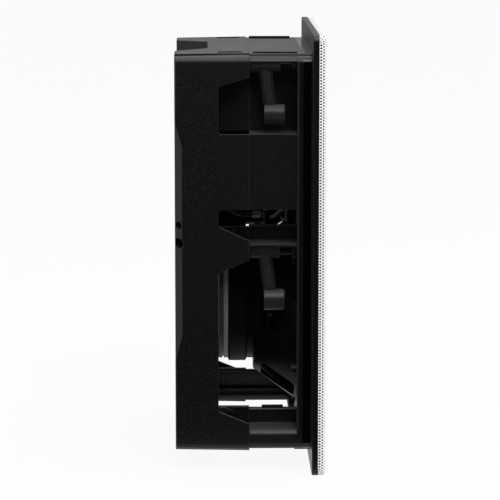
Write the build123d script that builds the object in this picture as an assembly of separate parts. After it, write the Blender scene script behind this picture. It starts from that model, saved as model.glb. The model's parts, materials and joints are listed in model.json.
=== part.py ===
from build123d import *
import os
from math import atan2, cos, radians, sin, tan

# In-wall loudspeaker: a white grille on a black flanged front frame, an open two-part cage with windows
# in its sides, four swing-out clamps, a woofer, a tweeter, a crossover and a push terminal.
# Millimetres, +Z up. The origin is the centre of the wall plane, which is the back face of the flange.
# The speaker faces -Y and its cage reaches into the wall along +Y.

# Flange and grille
flange_width = 217.0
flange_height = 306.0
flange_thickness = 4.2
flange_corner = 5.0
flange_edge = 0.6
grille_depth = 5.0
grille_sheet = 0.8
grille_corner = 6.0
grille_fold = 1.6
grille_columns = 8
grille_rows = 12
grille_margin = 15.0
grille_bar = 8.0
lip_gap = 0.3
lip_width = 2.0
lip_setback = 0.5
magnet_diameter = 8.0
magnet_seat = 1.2
magnet_inset = 9.4
side_magnet_height = 95.0
end_magnet_across = 60.0

# Baffle, set back from the front of the flange
baffle_recess = 9.2
baffle_thickness = 4.0

# Cage
cage_width = 186.0
cage_height = 279.0
mounting_depth = 94.5
seam_depth = 43.0
wall = 2.5
shoulder_radius = 5.0
land_width = 171.0
land_rise = 1.4
land_edge = 0.8
seam_step = 0.7
rear_edge = 0.8
seam_edge = 0.5
cage_draft = 1.0

# Windows in the sides of the cage, as heights from the centre and depths from the wall plane
window_front = 10.0
window_rear = 64.5
window_corner = 2.5
window_lip = 1.0
bead_radius = 1.6
bead_inset = 0.9
upper_sill = 84.0
lobe_drop = 11.0
lobe_slope = 7.5
lower_window_top = 32.0
tongue_rise = 8.0
tongue_fall = 3.3
tongue_slope = 11.0
tongue_under_slope = 10.3
lower_window_margin = 11.9
corner_slope = 9.8
corner_rise = 3.0
sill_thickness = 6.0
sill_round = 5.0

# Pockets that the clamps park in
pocket_depth = 23.0
pocket_bevel = 5.0
pocket_roll = 4.2
pocket_roll_proud = 0.5
shelf_thickness = 1.6
rail_height = 22.9
rail_lift = 4.0
rail_tab_rise = 1.4
rail_tab_span = (19.0, 34.0)
rear_rail_rise = 1.0
bar_height = 11.0
rear_bar_drop = 1.2
slot_width = 11.0
slot_rib_width = 1.5
slot_rib_height = 1.2
hook_front = 17.0
hook_reach = 4.4
hook_drop = 8.2
hook_thickness = 1.6

# Relief along the rear edges, with two holes for cables
relief_depth = 4.8
relief_top = 76.0
relief_bottom = -56.0
relief_run_out = 21.0
cable_hole_diameters = (6.0, 8.5)
cable_hole_heights = (20.5, 8.0)
cable_hole_length = 30.0

# Openings in the rear half
notch_rear_width = 110.0
notch_front_width = 69.0
notch_depth = 23.0
notch_drop = 26.0
front_floor_opening = 176.0
rear_floor_opening = 156.0
motor_opening_gap = 5.0

# Clamps and their screws
clamp_inset = 9.3
clamp_ceiling_gap = 4.8
lower_clamp_height = 1.0
clamp_hub_diameter = 8.4
clamp_hub_length = 21.0
clamp_arm_thickness = 6.4
clamp_arm_rear = 5.5
clamp_arm_front = 15.0
clamp_arm_lean = 4.0
clamp_arm_bevel = 2.4
clamp_pad_start = 26.4
clamp_pad_height = 14.0
clamp_pad_depth = 14.5
clamp_pad_setback = 10.0
clamp_pad_overlap = 2.0
clamp_pad_round = 6.0
clamp_pad_edge = 1.0
clamp_pad_thickness = 11.5
clamp_screw_diameter = 4.0
clamp_screw_head = 7.2
clamp_screw_head_height = 2.6
clamp_screw_tail = 1.0
clamp_boss_length = 4.0
bracket_thickness = 2.5
bracket_drop = 4.5

# Screws that join the two halves
case_screw_diameter = 3.2
case_screw_head = 6.0
case_screw_head_height = 2.4
case_screw_length = 16.0
case_post_diameter = 10.0
case_post_floor = 3.0
case_post_sink = 0.8
side_post_height = 58.0
side_post_inset = 11.5

# Woofer, on an axis along Y
woofer_height = -46.0
basket_diameter = 164.0
basket_flange = 3.0
basket_rim_width = 6.0
basket_inner_gap = 8.0
basket_wall = 2.2
basket_rear_diameter = 101.0
basket_depth = 34.0
basket_windows = 6
basket_window_width = 26.0
basket_window_front = 5.0
basket_window_rear = 3.0
basket_window_corner = 4.0
cutout_gap = 0.8
surround_roll = 5.2
surround_thickness = 0.9
cone_diameter = 116.0
cone_depth = 22.0
cone_rim = 4.0
cone_thickness = 1.0
dust_cap_diameter = 36.0
dust_cap_rise = 7.5
dust_cap_thickness = 0.7
coil_diameter = 26.0
former_thickness = 0.4
winding_thickness = 0.8
winding_length = 12.0
coil_gap = 0.6
spider_diameter = 80.0
spider_thickness = 0.6
spider_ledge = 3.0
spider_collar = 7.0
spider_waves = 4
spider_ripple = 1.2
front_plate_thickness = 5.0
front_plate_diameter = 86.0
woofer_magnet_diameter = 90.0
woofer_magnet_thickness = 13.2
woofer_magnet_bore_gap = 7.0
woofer_magnet_edge = 1.0
back_plate_diameter = 86.0
back_plate_thickness = 7.3
back_plate_groove = 1.0
back_plate_groove_depth = 1.2
back_plate_edge = 0.8
pole_vent_diameter = 10.0

# Tweeter, on an axis along Y
tweeter_height = 88.0
faceplate_diameter = 72.0
faceplate_thickness = 3.5
waveguide_diameter = 54.0
waveguide_depth = 2.4
throat_gap = 2.0
faceplate_edge = 1.0
dome_diameter = 25.0
dome_rise = 5.5
dome_thickness = 0.5
dome_edge = 5.0
tweeter_magnet_diameter = 46.0
tweeter_magnet_thickness = 8.0
tweeter_plate_thickness = 3.0
tweeter_plate_inset = 1.5
tweeter_magnet_bore_gap = 3.0
tweeter_coil_thickness = 0.5
tweeter_coil_reach = 2.0
chamber_diameter = 55.0
chamber_depth = 32.0
chamber_wall = 2.0
chamber_bevel = 3.0

# Crossover
board_width = 88.0
board_height = 62.0
board_thickness = 1.6
board_centre_height = 72.0
board_post_height = 6.0
board_post_diameter = 7.0
inductor_diameter = 28.0
inductor_height = 14.0
inductor_core = 10.0
bobbin_lip = 1.6
winding_inset = 1.2
capacitor_diameter = 13.0
capacitor_length = 26.0
capacitor_round = 1.5
resistor_length = 24.0
resistor_side = 9.0
resistor_bevel = 0.8
woofer_inductor_place = (-24.0, 8.0)
tweeter_inductor_place = (8.0, 10.0)
woofer_capacitor_place = (-14.0, -18.0)
tweeter_capacitor_place = (18.0, -18.0)
resistor_place = (30.0, -6.0)

# Push terminal in a recess of the rear wall
terminal_height = 14.0
terminal_recess_width = 48.0
terminal_recess_height = 32.0
terminal_recess_depth = 13.0
terminal_width = 38.0
terminal_block_height = 24.0
terminal_thickness = 8.0
terminal_round = 1.5
terminal_base = 1.5
button_width = 12.0
button_height = 9.0
button_proud = 3.5
button_travel = 2.0
button_root = 3.0
button_rise = 4.8
button_round = 1.2
wire_hole_diameter = 3.2
wire_hole_drop = 6.8

# Tag strip on the woofer
tag_strip_width = 18.0
tag_strip_height = 8.0
tag_strip_thickness = 1.5
tag_ear_depth = 28.0
tag_ear_thickness = 2.2
tag_ear_foot = 3.0
tag_gap = 1.1
tag_spacing = 10.0
tag_width = 4.8
tag_thickness = 0.8
tag_length = 1.5
connector_length = 6.0
connector_wall = 0.6
connector_height = 3.2
connector_round = 1.0

# Small screws and leads
small_screw_diameter = 2.8
small_screw_head = 5.6
small_screw_head_height = 1.8
screw_boss_diameter = 7.0
screw_boss_length = 4.0
driver_screw_inset = 4.0
driver_screw_reach = 2.0
woofer_screw_count = 6
tweeter_screw_count = 3
screw_end_gap = 1.0
lead_diameter = 2.2
bend_share = 0.45
lead_stub = 7.0
woofer_lead_spread = 3.0
woofer_lead_runs = (19.0, 30.0)
woofer_lead_rises = (5.0, 16.0)
board_entry = 9.0
tweeter_lead_across = 6.0
tweeter_lead_runs = (12.0, 30.0)
terminal_lead_across = 17.0
terminal_lead_spread = 4.0
terminal_lead_runs = (9.0, 3.0)
terminal_lead_rises = (8.0, 19.0)

# Cross recess in a screw, as shares of the head
recess_depth = 0.5
recess_arm = 0.3
recess_half_width = 0.12

# Clearances
running_gap = 0.1
slip_gap = 0.3
thread_gap = 0.05
glue_gap = 0.1
cut_margin = 0.5

# Places worked out from the sizes above. Depths are along Y from the wall plane.
baffle_front = baffle_recess - flange_thickness
baffle_back = baffle_front + baffle_thickness
grille_front = -flange_thickness - grille_depth
front_width = cage_width - 2 * seam_step
front_height = cage_height - 2 * land_rise - 2 * seam_step
rear_height = cage_height - 2 * land_rise
ceiling = front_height / 2 - wall
inner_side = front_width / 2 - wall
rear_inside = mounting_depth - wall
pocket_wall_outer = front_width / 2 - pocket_depth
pocket_wall_inner = pocket_wall_outer - wall
pocket_roll_across = pocket_wall_outer + pocket_roll_proud - pocket_roll / 2
clamp_across = front_width / 2 - clamp_inset
upper_clamp_height = ceiling - clamp_ceiling_gap
clamp_heights = {"upper": upper_clamp_height, "lower": lower_clamp_height}
upper_window_top = ceiling - window_lip
lower_window_sill = -ceiling + lower_window_margin
shelf_top = lower_clamp_height + clamp_ceiling_gap + shelf_thickness
hub_rear = seam_depth - slip_gap
hub_front = hub_rear - clamp_hub_length
case_posts_across = pocket_wall_inner - case_post_diameter / 2 + case_post_sink
case_posts_up = ceiling - case_post_diameter / 2 + case_post_sink
case_posts = [(side * case_posts_across, end * case_posts_up) for side in (-1, 1) for end in (-1, 1)]
case_posts += [(side * (front_width / 2 - side_post_inset), side_post_height) for side in (-1, 1)]
basket_front = baffle_front - basket_flange
basket_hole = basket_diameter - 2 * basket_rim_width
basket_rear = baffle_front + basket_depth
basket_disc_front = basket_rear - basket_wall
cone_front = basket_front
cone_neck = cone_front + cone_depth
former_radius = coil_diameter / 2 - former_thickness
winding_radius = coil_diameter / 2 + winding_thickness
front_plate_back = basket_rear + front_plate_thickness
woofer_magnet_back = front_plate_back + woofer_magnet_thickness
back_plate_back = woofer_magnet_back + back_plate_thickness
pole_radius = former_radius - coil_gap
gap_radius = winding_radius + coil_gap
winding_middle = (basket_rear + front_plate_back) / 2
spider_seat = basket_disc_front - spider_collar
faceplate_front = baffle_front - faceplate_thickness
board_back = rear_inside - board_post_height
board_front = board_back - board_thickness
terminal_floor = mounting_depth - terminal_recess_depth
terminal_face = terminal_floor + terminal_thickness
button_level = terminal_height + button_rise
button_places = (-terminal_width / 4, terminal_width / 4)
basket_slope = (basket_hole / 2 - cutout_gap - basket_rear_diameter / 2) / basket_depth
tag_strip_front = tag_ear_depth + tag_ear_thickness
tag_foot = basket_rear_diameter / 2 + (basket_rear - tag_strip_front) * basket_slope + tag_gap
tag_radius = tag_foot + tag_strip_height / 2
tag_height = woofer_height + tag_radius
tag_front = tag_strip_front + tag_strip_thickness
connector_front = tag_front + tag_length
connector_back = connector_front + connector_length
board_foot = board_centre_height - board_height / 2 + 1.5 * lead_diameter
board_head = board_centre_height + board_height / 2 - 2 * lead_diameter
rear_side = cage_width / 2 - (mounting_depth - seam_depth) * tan(radians(cage_draft))
tweeter_plate_front = baffle_front + dome_thickness
tweeter_magnet_front = tweeter_plate_front + tweeter_plate_thickness
tweeter_magnet_back = tweeter_magnet_front + tweeter_magnet_thickness
tweeter_coil_outer = dome_diameter / 2 - glue_gap
tweeter_coil_inner = tweeter_coil_outer - tweeter_coil_thickness


def rod(diameter, start, end, x=0.0, z=0.0):
    """A round bar along Y from one depth to another."""
    return Pos(x, (start + end) / 2, z) * Rot(X=90) * Cylinder(diameter / 2, end - start)


def block(x0, x1, y0, y1, z0, z1):
    """A box between two corners."""
    middle = Pos((x0 + x1) / 2, (y0 + y1) / 2, (z0 + z1) / 2)
    return middle * Box(abs(x1 - x0), abs(y1 - y0), abs(z1 - z0))


def turned(points, x=0.0, z=0.0):
    """A solid turned about an axis along Y, from a closed outline of (radius, depth) points."""
    return Pos(x, 0, z) * revolve(make_face(Polyline(*points, close=True)), axis=Axis.Y)


def dome(rim, rise, thickness, seat):
    """A thin cap that bulges to the front, turned about Y, whose rim stands at the given depth."""
    outer = (rim**2 + rise**2) / (2 * rise)
    centre = seat - rise + outer
    inner = outer - thickness
    inner_rim = (inner**2 - (centre - seat) ** 2) ** 0.5
    half = atan2(rim, centre - seat) / 2
    top, under = (0, seat - rise), (0, seat - rise + thickness)
    outer_middle = (outer * sin(half), centre - outer * cos(half))
    inner_middle = (inner * sin(half), centre - inner * cos(half))
    outline = [
        ThreePointArc(top, outer_middle, (rim, seat)),
        Line((rim, seat), (inner_rim, seat)),
        ThreePointArc((inner_rim, seat), inner_middle, under),
        Line(under, top),
    ]
    return revolve(make_face(outline), axis=Axis.Y)


def slab(width, height, corner, start, end, taper=0.0):
    """A round-cornered plate across the speaker, from one depth to another."""
    plane = Plane(origin=(0, start, 0), x_dir=(1, 0, 0), z_dir=(0, 1, 0))
    return extrude(plane * RectangleRounded(width, height, corner), amount=end - start, taper=taper)


def side_prism(points, x0, x1, rear_corner=0.0):
    """An outline of (depth, height) points, drawn in the side view and pulled from x0 to x1."""
    outline = make_face(Polyline(*points, close=True))
    if rear_corner:
        outline = fillet(outline.vertices().group_by(Axis.X)[-1], rear_corner)
    return extrude(Plane(origin=(x0, 0, 0), x_dir=(0, 1, 0), z_dir=(1, 0, 0)) * outline, amount=x1 - x0)


def end_prism(points, start, end):
    """An outline of (across, height) points, drawn in the front view and pulled from one depth to another."""
    plane = Plane(origin=(0, end, 0), x_dir=(1, 0, 0), z_dir=(0, -1, 0))
    return extrude(plane * make_face(Polyline(*points, close=True)), amount=end - start)


def both_sides(part):
    """A piece and its mirror image on the other side of the speaker."""
    return part + mirror(part, about=Plane.YZ)


def screw(diameter, head, head_height, length, seat, x, z, towards=1):
    """A pan-head screw along Y whose head stands on a seat at the given depth."""
    shank = rod(diameter, min(seat, seat + towards * length), max(seat, seat + towards * length), x, z)
    top = seat - towards * head_height
    cap = rod(head, min(seat, top), max(seat, top), x, z)
    slot_floor = top + towards * head_height * recess_depth
    arm, width = head * recess_arm, head * recess_half_width
    low, high = min(top, slot_floor), max(top, slot_floor)
    slots = block(x - arm, x + arm, low, high, z - width, z + width)
    slots += block(x - width, x + width, low, high, z - arm, z + arm)
    return shank + cap - slots


def grille_openings():
    """A plain grid of openings that stands for the fine perforation of the sheet."""
    across = (flange_width - 2 * grille_margin) / grille_columns
    up = (flange_height - 2 * grille_margin) / grille_rows
    opening = Box(across - grille_bar, 2 * grille_sheet, up - grille_bar)
    for column in range(grille_columns):
        for row in range(grille_rows):
            x = (column - (grille_columns - 1) / 2) * across
            z = (row - (grille_rows - 1) / 2) * up
            yield Pos(x, grille_front + grille_sheet / 2, z) * opening


def grille():
    """The folded sheet: a shallow pan with a rounded fold, open at the back."""
    pan = slab(flange_width, flange_height, grille_corner, grille_front, -flange_thickness)
    pan = fillet(pan.faces().sort_by(Axis.Y)[0].edges(), grille_fold)
    sheet = offset(pan, amount=-grille_sheet, openings=pan.faces().sort_by(Axis.Y)[-1])
    return sheet - list(grille_openings())


def magnet_places():
    """Eight magnets round the flange, set in from its edge."""
    across = flange_width / 2 - magnet_inset
    up = flange_height / 2 - magnet_inset
    for side in (-1, 1):
        for end in (-1, 1):
            yield side * across, end * side_magnet_height
            yield side * end_magnet_across, end * up


def grille_magnets():
    seat = -flange_thickness + magnet_seat
    back_of_grille = grille_front + grille_sheet
    return Compound([rod(magnet_diameter, back_of_grille, seat, x, z) for x, z in magnet_places()])


def screw_circle(count, radius, height, first):
    """Places of screws round a driver."""
    for step in range(count):
        angle = radians(first + 360 / count * step)
        yield radius * cos(angle), height + radius * sin(angle)


woofer_screw_circle = basket_diameter / 2 - driver_screw_inset
woofer_screw_places = list(screw_circle(woofer_screw_count, woofer_screw_circle, woofer_height, 30))
tweeter_screw_circle = faceplate_diameter / 2 - driver_screw_inset
tweeter_screw_places = list(screw_circle(tweeter_screw_count, tweeter_screw_circle, tweeter_height, 90))


def front_window_cuts():
    """Both windows in the front half of one side."""
    sill_foot = lower_window_sill - sill_round
    for low, high in ((upper_sill, upper_window_top), (sill_foot, lower_window_top)):
        yield block(pocket_wall_outer, cage_width, window_front, seam_depth + wall, low, high)


def pocket_wall(start, end, low, high):
    """A wall between one side's pocket and the middle of the cage, with a rolled edge along its top."""
    roll_height = high - pocket_roll / 2
    body = block(pocket_wall_inner, pocket_wall_outer, start, end, low, roll_height)
    return body + rod(pocket_roll, start, end, pocket_roll_across, roll_height)


def window_sill():
    """The sill of one side's lower window, rounded along its outer edge."""
    foot = lower_window_sill - sill_thickness
    sill = block(pocket_wall_inner, front_width / 2, baffle_back, seam_depth, foot, lower_window_sill)
    outer_edges = sill.edges().filter_by(Axis.Y).group_by(Axis.X)[-1]
    return fillet(outer_edges.sort_by(Axis.Z)[-1], sill_round)


def front_pocket():
    """Walls and shelves of one side's pockets in the front half."""
    inner, outer = pocket_wall_inner, inner_side + wall / 2
    walls = block(inner, pocket_wall_outer, baffle_back, seam_depth, upper_sill, ceiling + wall / 2)
    walls += block(inner, outer, baffle_back, seam_depth, upper_sill - shelf_thickness, upper_sill)
    roof = shelf_top - shelf_thickness
    walls += block(inner, outer + wall / 2, baffle_back, seam_depth, roof, shelf_top)
    walls += pocket_wall(baffle_back, seam_depth, roof, shelf_top + bar_height)
    walls += window_sill()
    rail = -ceiling + rail_height
    walls += pocket_wall(baffle_back, seam_depth, -ceiling + rail_lift, rail)
    walls += block(inner, pocket_wall_outer, *rail_tab_span, rail - pocket_roll / 2, rail + rail_tab_rise)
    return walls


def pocket_bevel_cut():
    """A flat bevel along the top edge of one side, above the pocket's window."""
    edge, top = front_width / 2, front_height / 2
    beyond = pocket_bevel
    wedge = [
        (edge - pocket_bevel - beyond, top + beyond),
        (edge + beyond, top + beyond),
        (edge + beyond, top - pocket_bevel - beyond),
    ]
    return end_prism(wedge, window_front, seam_depth)


def top_slot(start, end, top):
    """A slot through the top of one side's pocket, and the low rib along its outer edge."""
    edge = pocket_wall_outer + slot_width
    slot = block(pocket_wall_outer, edge, start, end, ceiling - cut_margin, cage_height)
    rib = block(edge, edge + slot_rib_width, start, end, top - wall / 2, top + slot_rib_height)
    return slot, rib


def grille_lip():
    """The lip on the front of the flange that the grille's skirt fits over."""
    inset = grille_sheet + lip_gap
    front = grille_front + grille_sheet + lip_setback
    width, height, corner = flange_width - 2 * inset, flange_height - 2 * inset, grille_corner - inset
    ring = slab(width, height, corner, front, -flange_thickness)
    inner_width, inner_height = width - 2 * lip_width, height - 2 * lip_width
    return ring - slab(inner_width, inner_height, corner - lip_width, front, -flange_thickness)


def cable_hook():
    """A hook that hangs from the top of one side's lower window, open to the rear, for the leads."""
    x0, x1 = inner_side, inner_side + wall
    top, foot = lower_window_top + window_lip, lower_window_top - hook_drop
    back = hook_front + hook_reach
    hook = block(x0, x1, hook_front, hook_front + hook_thickness, foot, top)
    hook += block(x0, x1, hook_front, back, foot, foot + hook_thickness)
    return hook + block(x0, x1, back - hook_thickness / 2, back, foot, foot + 2 * hook_thickness)


def front_frame():
    """Flange, baffle and the front half of the cage, moulded in one."""
    opening = slab(2 * inner_side, 2 * ceiling, shoulder_radius - wall, -flange_thickness, seam_depth)
    flange = slab(flange_width, flange_height, flange_corner, -flange_thickness, 0)
    flange = fillet(flange.faces().sort_by(Axis.Y)[-1].edges(), flange_edge)
    body = flange + slab(front_width, front_height, shoulder_radius, 0, seam_depth)
    body -= both_sides(pocket_bevel_cut())
    body += slab(land_width, front_height + 2 * land_rise, land_edge, 0, seam_depth)
    body -= opening
    body += slab(2 * inner_side + wall, 2 * ceiling + wall, shoulder_radius, baffle_front, baffle_back)
    for cut in front_window_cuts():
        body -= both_sides(cut)
    body += both_sides(front_pocket())
    body += both_sides(cable_hook())
    bead = Cylinder(bead_radius, upper_window_top - lower_window_sill)
    bead_middle = (upper_window_top + lower_window_sill) / 2
    body += both_sides(Pos(front_width / 2 - bead_inset, window_front - bead_radius, bead_middle) * bead)
    body -= rod(basket_hole, baffle_front, baffle_back, 0, woofer_height)
    body -= rod(chamber_diameter + 2 * cutout_gap, baffle_front, baffle_back, 0, tweeter_height)
    for height in clamp_heights.values():
        boss = rod(clamp_hub_diameter, baffle_back, baffle_back + clamp_boss_length, clamp_across, height)
        bore = rod(clamp_screw_diameter + 2 * running_gap, baffle_front, seam_depth, clamp_across, height)
        body = body + both_sides(boss) - both_sides(bore)
    for x, z in case_posts:
        body += rod(case_post_diameter, baffle_back, seam_depth, x, z)
        body -= rod(case_screw_diameter + 2 * thread_gap, seam_depth - case_screw_length, seam_depth, x, z)
    for x, z in woofer_screw_places + tweeter_screw_places:
        boss_back = baffle_back + screw_boss_length
        body += rod(screw_boss_diameter, baffle_back, boss_back, x, z)
        body -= rod(small_screw_diameter + 2 * thread_gap, baffle_front, boss_back, x, z)
    for x, z in magnet_places():
        body -= rod(magnet_diameter, -flange_thickness, -flange_thickness + magnet_seat, x, z)
    slot, rib = top_slot(window_front, seam_depth - wall, front_height / 2 + land_rise)
    body = body + both_sides(rib) - both_sides(slot)
    half = front_floor_opening / 2
    body -= block(-half, half, baffle_back + wall, seam_depth, -cage_height, -ceiling + cut_margin)
    return body + grille_lip()


def rear_window_cuts():
    """The windows in the rear half of one side, with the lobe and the tongue that hold the clamp screws."""
    start = seam_depth - wall
    x0, x1 = pocket_wall_outer, cage_width
    end = window_rear
    lobe = ceiling - lobe_drop
    upper = [(start, lobe), (end, lobe - lobe_slope), (end, upper_sill), (start, upper_sill)]
    tongue_top = lower_clamp_height + tongue_rise
    middle = [(start, lower_window_top), (end, lower_window_top), (end, tongue_top + tongue_slope)]
    middle.append((start, tongue_top))
    tongue_foot = lower_clamp_height - tongue_fall
    low = lower_window_sill + corner_rise
    lower = [(start, tongue_foot), (end, tongue_foot - tongue_under_slope), (end, low + corner_slope)]
    lower.append((start, low))
    for outline in (upper, middle, lower):
        yield side_prism(outline, x0, x1, window_corner)


def rear_relief():
    """The bevel along one rear edge, cut only over the middle of its height."""
    face = mounting_depth - relief_depth
    trapezoid = [
        (mounting_depth + 1, relief_top + relief_run_out),
        (face, relief_top),
        (face, relief_bottom),
        (mounting_depth + 1, relief_bottom - relief_run_out),
    ]
    band = side_prism(trapezoid, 0, cage_width)
    beyond = relief_depth
    wedge = [
        (rear_side + beyond, mounting_depth - relief_depth - beyond),
        (rear_side + beyond, mounting_depth + beyond),
        (rear_side - relief_depth - beyond, mounting_depth + beyond),
    ]
    bevel = extrude(make_face(Polyline(*wedge, close=True)), amount=cage_height / 2, both=True)
    return band & bevel


def rear_gusset():
    """A thick inside corner behind the relief, so that the wall keeps its strength there."""
    side = cage_width / 2 - wall / 2
    leg = relief_depth + 2 * wall
    back = rear_inside + wall / 2
    wedge = [(side, back), (side - leg, back), (side, back - leg)]
    height = relief_top - relief_bottom + 2 * relief_run_out
    prism = extrude(make_face(Polyline(*wedge, close=True)), amount=height / 2, both=True)
    return Pos(0, 0, (relief_top + relief_bottom) / 2) * prism


def cable_holes():
    """Two holes across the bevel of one side."""
    x = rear_side - relief_depth / 2
    y = mounting_depth - relief_depth / 2
    for diameter, height in zip(cable_hole_diameters, cable_hole_heights):
        yield Pos(x, y, height) * Rot(Z=-45) * Rot(X=90) * Cylinder(diameter / 2, cable_hole_length)


def rear_pocket():
    """Walls of one side's pockets in the rear half, and the brackets for the tails of the clamp screws."""
    inner, outer = pocket_wall_inner, pocket_wall_outer
    walls = block(inner, outer, seam_depth, rear_inside + wall / 2, upper_sill, ceiling + wall / 2)
    bar_foot, bar_top = lower_clamp_height - bracket_drop, shelf_top + bar_height - rear_bar_drop
    walls += pocket_wall(seam_depth, window_rear, bar_foot, bar_top)
    rail = -ceiling + rail_height + rear_rail_rise
    walls += pocket_wall(seam_depth, rear_inside + wall / 2, -ceiling - wall / 2, rail)
    for height in clamp_heights.values():
        foot, top = height - bracket_drop, height + clamp_ceiling_gap + wall / 2
        walls += block(inner, inner_side + wall / 2, seam_depth, seam_depth + bracket_thickness, foot, top)
    return walls


def terminal_recess():
    """The box that sinks the push terminal below the rear face, and the hollow in it."""
    half_width, half_height = terminal_recess_width / 2, terminal_recess_height / 2
    low, high = terminal_height - half_height, terminal_height + half_height
    hollow = block(-half_width, half_width, terminal_floor, mounting_depth + 1, low, high)
    front, back = terminal_floor - wall, rear_inside + wall / 2
    box = block(-half_width - wall, half_width + wall, front, back, low - wall, high + wall)
    return box, hollow


def board_posts():
    """Places of the four posts that carry the crossover board."""
    for side in (-1, 1):
        for end in (-1, 1):
            x = side * (board_width / 2 - board_post_diameter / 2)
            yield x, board_centre_height + end * (board_height / 2 - board_post_diameter / 2)


def notch_plan():
    """The notch in the top of the rear half as seen from above, open to the rear."""
    start = mounting_depth - notch_depth
    plan = [
        (-notch_front_width / 2, start),
        (notch_front_width / 2, start),
        (notch_rear_width / 2, mounting_depth + 1),
        (-notch_rear_width / 2, mounting_depth + 1),
    ]
    return fillet(make_face(Polyline(*plan, close=True)).vertices().sort_by(Axis.Y)[:2], window_corner)


def notch_liner():
    """Walls and a floor that close the notch off from the inside of the cage."""
    floor, top = cage_height / 2 - notch_drop - wall, rear_height / 2 - wall
    liner = Pos(0, 0, floor) * extrude(offset(notch_plan(), amount=wall), amount=top - floor)
    return liner & block(-cage_width, cage_width, seam_depth, rear_inside + wall / 2, floor, top)


def rear_cage():
    """The rear half of the cage."""
    body = slab(cage_width, rear_height, shoulder_radius, seam_depth, mounting_depth, cage_draft)
    body = chamfer(body.faces().sort_by(Axis.Y)[-1].edges(), rear_edge)
    body = chamfer(body.faces().sort_by(Axis.Y)[0].edges(), seam_edge)
    body += slab(land_width, cage_height, land_edge, seam_depth, mounting_depth, cage_draft)
    inner_width, inner_height = cage_width - 2 * wall, rear_height - 2 * wall
    inner_corner = shoulder_radius - wall
    body -= slab(inner_width, inner_height, inner_corner, seam_depth, rear_inside, cage_draft)
    body += both_sides(rear_gusset())
    body -= both_sides(rear_relief())
    body += both_sides(rear_pocket())
    for x, z in case_posts:
        body += rod(case_post_diameter, seam_depth, rear_inside + wall / 2, x, z)
    for x, z in board_posts():
        body += rod(board_post_diameter, board_back, rear_inside + wall / 2, x, z)
    box, hollow = terminal_recess()
    body = body + box - hollow
    for cut in rear_window_cuts():
        body -= both_sides(cut)
    for hole in cable_holes():
        body -= both_sides(hole)
    for height in clamp_heights.values():
        end = seam_depth + bracket_thickness
        body -= both_sides(rod(clamp_screw_diameter + 2 * running_gap, seam_depth, end, clamp_across, height))
    for x, z in case_posts:
        seat = seam_depth + case_post_floor
        body -= rod(case_screw_diameter + 2 * slip_gap, seam_depth, seat, x, z)
        body -= rod(case_screw_head + 2 * slip_gap, seat, mounting_depth, x, z)
    for x, z in board_posts():
        body -= rod(small_screw_diameter + 2 * thread_gap, board_back, rear_inside, x, z)
    body += notch_liner()
    body -= Pos(0, 0, cage_height / 2 - notch_drop) * extrude(notch_plan(), amount=cage_height)
    slot, rib = top_slot(seam_depth + 2 * bracket_thickness, window_rear, rear_height / 2)
    body = body + both_sides(rib) - both_sides(slot)
    half = rear_floor_opening / 2
    body -= block(-half, half, seam_depth, window_rear, -cage_height, -ceiling + cut_margin)
    motor_opening = back_plate_diameter + 2 * motor_opening_gap
    body -= rod(motor_opening, rear_inside - cut_margin, mounting_depth, 0, woofer_height)
    return body


def clamp(height):
    """One swing-out clamp on the +X side, parked with its arm hanging: hub, arm and pad in one."""
    pad_back = hub_rear - clamp_pad_setback
    pad_front = pad_back - clamp_pad_depth
    pad_top = -clamp_pad_start
    pad_foot = pad_top - clamp_pad_height
    arm = [
        (hub_rear - clamp_arm_rear, 0),
        (hub_rear - clamp_arm_front, 0),
        (hub_rear - clamp_arm_front - clamp_arm_lean, pad_top - clamp_pad_overlap),
        (pad_back, pad_top - clamp_pad_overlap),
    ]
    half = clamp_arm_thickness / 2
    limb = side_prism(arm, -half, half)
    limb = chamfer(limb.faces().sort_by(Axis.X)[-1].edges(), clamp_arm_bevel)
    pad = block(-half, clamp_pad_thickness - half, pad_front, pad_back, pad_foot, pad_top)
    pad = fillet(pad.edges().filter_by(Axis.Y).group_by(Axis.X)[-1], clamp_pad_round)
    pad = chamfer(pad.faces().sort_by(Axis.Y)[0].edges(), clamp_pad_edge)
    hub = rod(clamp_hub_diameter, hub_front, hub_rear)
    bore = rod(clamp_screw_diameter + 2 * thread_gap, hub_front, hub_rear)
    return Pos(clamp_across, 0, height) * (hub + limb + pad - bore)


def clamp_screw(height):
    """The long screw of one clamp on the +X side, reached from the front."""
    length = seam_depth + bracket_thickness + clamp_screw_tail - baffle_front
    head, head_height = clamp_screw_head, clamp_screw_head_height
    return screw(clamp_screw_diameter, head, head_height, length, baffle_front, clamp_across, height)


def case_screws():
    seat = seam_depth + case_post_floor
    length = case_post_floor + case_screw_length - screw_end_gap
    sizes = case_screw_diameter, case_screw_head, case_screw_head_height, length, seat
    return Compound([screw(*sizes, x, z, towards=-1) for x, z in case_posts])


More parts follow.
